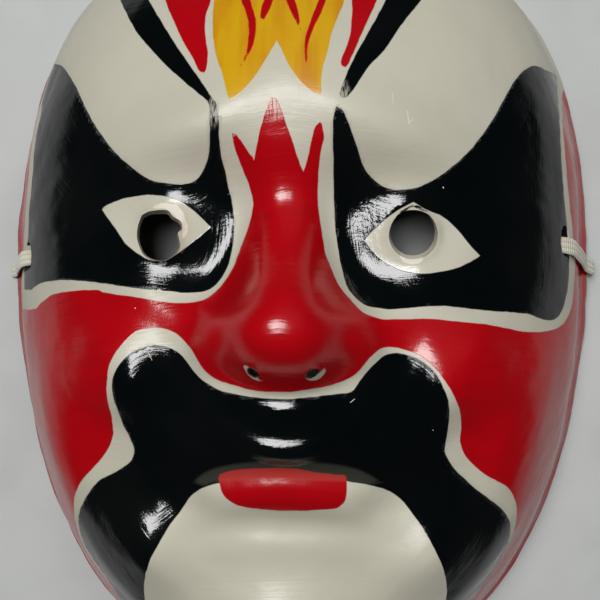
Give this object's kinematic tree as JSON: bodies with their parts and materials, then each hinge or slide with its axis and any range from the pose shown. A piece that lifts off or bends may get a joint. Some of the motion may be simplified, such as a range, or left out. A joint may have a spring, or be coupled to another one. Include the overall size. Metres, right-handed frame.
{
  "type": "opera mask",
  "caption": "Full-face opera mask of pressed paper pulp with eye holes and a flat elastic strap, lying face up.",
  "frame": {"origin": "centre of the mask's outline on the flat surface that its rim lies on", "axes": "+Z out of the front of the face, +Y to the forehead, +X across to the viewer's right"},
  "size_m": [0.1886, 0.2476, 0.0821],
  "materials": {
    "painted_pulp": "gloss",
    "elastic": "matte"
  },
  "bodies": {
    "root": {"mask_shell": "painted_pulp", "elastic_strap": "elastic"}
  },
  "joints": []
}
